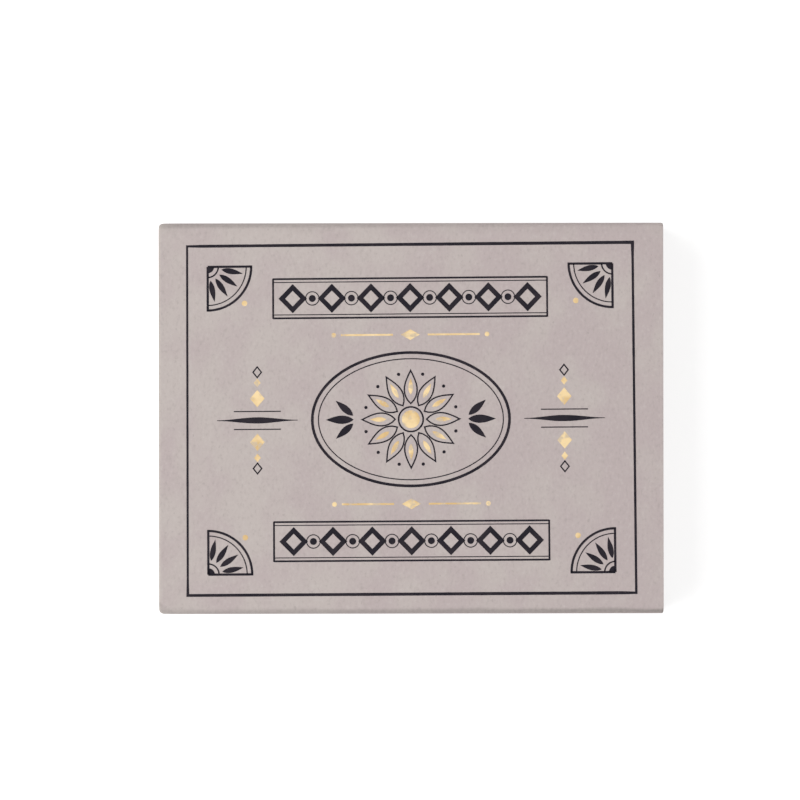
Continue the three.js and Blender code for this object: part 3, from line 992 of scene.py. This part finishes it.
class Print:
    """Printed shapes gathered into one thin mesh that follows the sleeve's face."""

    def __init__(self):
        self.vertices = []
        self.faces = []

    def shape(self, outline):
        count = len(outline)
        first = len(self.vertices)
        self.vertices += [on_face(point, INK_ABOVE) for point in outline]
        self.vertices += [on_face(point, -INK_BELOW) for point in outline]
        self.faces.append(list(range(first, first + count)))
        self.faces.append(list(range(first + count, first + 2 * count)))
        for k in range(count):
            here, beside = first + k, first + (k + 1) % count
            self.faces.append((here, beside, beside + count, here + count))

    def stroke(self, points, width, closed=False):
        """A line through points. The width is a number, or one for each point."""
        count = len(points)
        widths = width if isinstance(width, list) else [width] * count
        first = len(self.vertices)
        for k, (point, full) in enumerate(zip(points, widths)):
            before = points[k - 1] if closed or k else point
            after = points[(k + 1) % count] if closed or k + 1 < count else point
            arriving = left_of((point - before if before != point else after - point).normalized())
            leaving = left_of((after - point if after != point else point - before).normalized())
            across = (arriving + leaving).normalized()
            place = Vector((point.x * INK_UNEVEN_RATE, point.y * INK_UNEVEN_RATE, INK_UNEVEN_SEED))
            uneven = 1 + INK_UNEVEN * noise.noise(place)
            half = across * full * uneven / 2 / max(across.dot(arriving), MITRE_LIMIT)
            for lift, edges in ((INK_ABOVE, (half, -half)), (-INK_BELOW, (-half, half))):
                self.vertices += [on_face(point + edge, lift) for edge in edges]
        for k in range(count if closed else count - 1):
            here, beyond = first + 4 * k, first + 4 * ((k + 1) % count)
            for side in range(4):
                beside = (side + 1) % 4
                self.faces.append((here + side, here + beside, beyond + beside, beyond + side))
        if not closed:
            last = first + 4 * (count - 1)
            self.faces.append([first + side for side in range(4)])
            self.faces.append([last + side for side in range(4)])

    def line(self, start, end, width):
        start, end = Vector(start), Vector(end)
        count = max(math.ceil((end - start).length / LABEL_STEP), 1)
        self.stroke([start.lerp(end, k / count) for k in range(count + 1)], width)

    def build(self, name, material):
        add_piece(name, "sleeve", self.vertices, self.faces, [material])


def polar(centre, radius, angle):
    return Vector((centre[0] + radius * math.cos(angle), centre[1] + radius * math.sin(angle)))


def arc(centre, radius, start, swing, steps):
    return [polar(centre, radius, start + swing * k / steps) for k in range(steps + 1)]


def ellipse(centre, across, up, count):
    points = []
    for k in range(count):
        angle = 2 * math.pi * k / count
        points.append(Vector((centre[0] + across * math.cos(angle), centre[1] + up * math.sin(angle))))
    return points


def circle(centre, radius, count):
    return ellipse(centre, radius, radius, count)


def lozenge(centre, half_width, half_height):
    x, y = centre
    tips = ((x + half_width, y), (x, y + half_height), (x - half_width, y), (x, y - half_height))
    return [Vector(tip) for tip in tips]


def leaf(root, tip, half_width):
    """A pointed leaf between two points."""
    root, tip = Vector(root), Vector(tip)
    side = left_of((tip - root).normalized()) * half_width
    line = []
    for k in range(LEAF_STEPS + 1):
        share = k / LEAF_STEPS
        line.append((root.lerp(tip, share), side * math.sin(math.pi * share ** LEAF_FULLNESS)))
    return [place + half for place, half in line] + [place - half for place, half in line[-2:0:-1]]


def petal(centre, angle, ends, half_width):
    """A leaf that points away from a centre. Its ends are distances from there."""
    return leaf(polar(centre, ends[0], angle), polar(centre, ends[1], angle), half_width)


def print_border(ink):
    label = Print()
    wide, high = LABEL_HALF
    corners = [Vector(corner) for corner in ((wide, high), (-wide, high), (-wide, -high), (wide, -high))]
    points, widths = [], []
    for start, end in zip(corners, corners[1:] + corners[:1]):
        count = round((end - start).length / LABEL_STEP)
        side = [start.lerp(end, k / count) for k in range(count)]
        width = BORDER_WIDTHS[int(start.x == end.x)]
        points += side
        widths += [width * (1 + BORDER_SPREAD * point.x / wide) for point in side]
    label.stroke(points, widths, closed=True)
    label.build("print_border", ink)


def print_corners(ink, foil):
    """A quarter fan of leaves in each corner, which opens inward towards a dot of foil."""
    label, foil_label = Print(), Print()
    quarter = math.pi / 2
    for right in (-1, 1):
        for up in (-1, 1):
            centre = (right * FAN_PLACE[0], up * FAN_PLACE[1])
            inward = math.atan2(-up, -right)
            start = inward - quarter / 2
            for radius, width in FAN_ARCS:
                label.stroke(arc(centre, radius, start, quarter, steps=18), width)
            for angle in (start, start + quarter):
                label.line(centre, polar(centre, FAN_SIDE, angle), FAN_LINE)
            for k in range(FAN_LEAVES):
                angle = start + quarter * (k + 0.5) / FAN_LEAVES
                label.shape(petal(centre, angle, FAN_LEAF, half_width=0.5))
            label.shape([Vector(centre), *arc(centre, FAN_HUB, start, quarter, steps=8)])
            foil_label.shape(circle(polar(centre, FAN_DOT_DISTANCE, inward), radius=0.5, count=20))
    label.build("print_corners", ink)
    foil_label.build("foil_corner_dots", foil)


def print_friezes(ink):
    """Two framed rows of open lozenges, with a ringed dot between each two."""
    label = Print()
    for up in (-1, 1):
        y = up * FRIEZE_Y
        for offset, width in FRIEZE_RULES:
            for side in (-1, 1):
                label.line((-FRIEZE_REACH, y + side * offset), (FRIEZE_REACH, y + side * offset), width)
        for side in (-1, 1):
            x = side * FRIEZE_REACH
            label.line((x, y - FRIEZE_RISE), (x, y + FRIEZE_RISE), FRIEZE_RULES[0][1])
        for k in range(-FRIEZE_PAIRS, FRIEZE_PAIRS + 1):
            open_lozenge = lozenge((k * FRIEZE_PITCH, y), half_width=1.95, half_height=2.0)
            label.stroke(open_lozenge, width=0.85, closed=True)
        for k in range(-FRIEZE_PAIRS, FRIEZE_PAIRS):
            place = ((k + 0.5) * FRIEZE_PITCH, y)
            label.shape(circle(place, radius=0.62, count=24))
            label.stroke(circle(place, radius=1.2, count=32), width=0.18, closed=True)
    label.build("print_friezes", ink)


def print_medallion(ink, foil):
    """A rosette in a double oval, with a sprig of three leaves at each side."""
    label, foil_label = Print(), Print()
    middle = (0, 0)
    for across, up, width in MEDALLION_OVALS:
        label.stroke(ellipse(middle, across, up, count=96), width, closed=True)
    label.stroke(circle(middle, radius=2.2, count=40), width=0.3, closed=True)
    foil_label.shape(circle(middle, radius=1.6, count=32))
    for k in range(PETALS):
        angle = 2 * math.pi * k / PETALS
        between = angle + math.pi / PETALS
        label.stroke(petal(middle, angle, PETAL, half_width=1.15), width=0.26, closed=True)
        label.shape(circle(polar(middle, PETAL_DOT_DISTANCE, between), radius=0.3, count=16))
        foil_label.shape(petal(middle, angle, PETAL_FOIL, half_width=0.42))
    (root_x, root_y), (tip_x, tip_y) = SPRIG_SIDE
    for side in (-1, 1):
        label.shape(leaf((side * SPRIG_MIDDLE[0], 0), (side * SPRIG_MIDDLE[1], 0), half_width=0.75))
        for up in (-1, 1):
            label.shape(leaf((side * root_x, up * root_y), (side * tip_x, up * tip_y), half_width=0.62))
    label.build("print_medallion", ink)
    foil_label.build("foil_medallion", foil)


def print_side_rules(ink, foil):
    """Tapered rules at the sides, with fine rules and lozenges, and foil rules above and below."""
    label, foil_label = Print(), Print()
    shares = [k / TAPER_STEPS for k in range(TAPER_STEPS + 1)]
    tapered = [TAPER_WIDTH + TAPER_SWELL * math.sin(math.pi * share) ** 2 for share in shares]
    rule_reach, rule_y = FINE_RULE
    for side in (-1, 1):
        x = side * SIDE_X
        label.stroke([Vector((x - TAPER_REACH + 2 * TAPER_REACH * share, 0)) for share in shares], tapered)
        for up in (-1, 1):
            label.line((x - rule_reach, up * rule_y), (x + rule_reach, up * rule_y), width=0.2)
            open_lozenge = lozenge((x, up * SIDE_LOZENGE_Y), half_width=0.75, half_height=0.95)
            label.stroke(open_lozenge, width=0.24, closed=True)
            for y, half_width, half_height in SIDE_FOIL:
                foil_label.shape(lozenge((x, up * y), half_width, half_height))
    for up in (-1, 1):
        y = up * CROSS_RULE_Y
        foil_label.shape(lozenge((0, y), half_width=1.7, half_height=0.95))
        for side in (-1, 1):
            foil_label.line((side * CROSS_RULE[0], y), (side * CROSS_RULE[1], y), width=0.34)
            foil_label.shape(circle((side * CROSS_RULE_END, y), radius=0.42, count=18))
    label.build("print_side_rules", ink)
    foil_label.build("foil_side_accents", foil)


# Studio

def make_floor():
    nodes = Nodes(new_material("studio_floor"))
    surface = nodes.cloud(nodes.place((30, 30, 30)), detail=2)
    nodes.finish(
        Base_Color=nodes.blend(surface, *FLOOR_GREYS),
        Roughness=0.9,
        Emission_Color=WHITE,
        Emission_Strength=nodes.times(nodes.seen_directly(), FLOOR_SEEN),
    )
    mesh = bpy.data.meshes.new("floor")
    quarters = ((-1, -1), (1, -1), (1, 1), (-1, 1))
    corners = [(x * FLOOR_REACH, y * FLOOR_REACH, FLOOR_LEVEL) for x, y in quarters]
    mesh.from_pydata(corners, [], [(0, 1, 2, 3)])
    mesh.materials.append(nodes.owner)
    floor = bpy.data.objects.new("floor", mesh)
    bpy.context.scene.collection.objects.link(floor)


def make_world():
    world = bpy.data.worlds.new("studio")
    world.use_nodes = True
    nodes = Nodes(world, "Background")
    nodes.finish(
        Color=WHITE,
        Strength=nodes.sum(nodes.times(nodes.seen_directly(), WORLD_SEEN - WORLD_LIGHT), WORLD_LIGHT),
    )
    bpy.context.scene.world = world


def make_lamp(name, place, size, power):
    lamp = bpy.data.lights.new(name, "AREA")
    lamp.shape = "SQUARE"
    lamp.size = size
    lamp.energy = power
    holder = bpy.data.objects.new(name, lamp)
    holder.location = place
    holder.rotation_mode = "QUATERNION"
    holder.rotation_quaternion = Vector(place).to_track_quat("Z", "Y")
    holder.visible_camera = False
    bpy.context.scene.collection.objects.link(holder)


def make_camera():
    """Straight above the face, so that the box fills the same pixels as in the photograph."""
    pixel = SLEEVE_LENGTH / BOX_LENGTH_PX
    camera = bpy.data.cameras.new("camera")
    camera.sensor_width = SENSOR
    camera.lens = SENSOR * CAMERA_DISTANCE / (IMAGE_PX * pixel)
    camera.clip_start, camera.clip_end = CAMERA_CLIP
    holder = bpy.data.objects.new("camera", camera)
    holder.location = (
        (IMAGE_PX / 2 - BOX_CENTRE_PX[0]) * pixel,
        (BOX_CENTRE_PX[1] - IMAGE_PX / 2) * pixel,
        SLEEVE_HEIGHT + CAMERA_DISTANCE,
    )
    holder.rotation_euler = (0, 0, -BOX_TILT)
    bpy.context.scene.collection.objects.link(holder)
    bpy.context.scene.camera = holder


def main():
    core = core_material()
    make_sleeve(card_material("sleeve_card"), core)
    make_tray(card_material("tray_card"), core)
    make_clips(brass_material())

    ink, foil = ink_material(), foil_material()
    print_border(ink)
    print_corners(ink, foil)
    print_friezes(ink)
    print_medallion(ink, foil)
    print_side_rules(ink, foil)

    make_floor()
    make_world()
    make_lamp("key", KEY_PLACE, KEY_SIZE, KEY_POWER)
    make_lamp("fill", FILL_PLACE, FILL_SIZE, FILL_POWER)
    make_camera()
    bpy.context.scene.view_settings.view_transform = "Standard"


main()
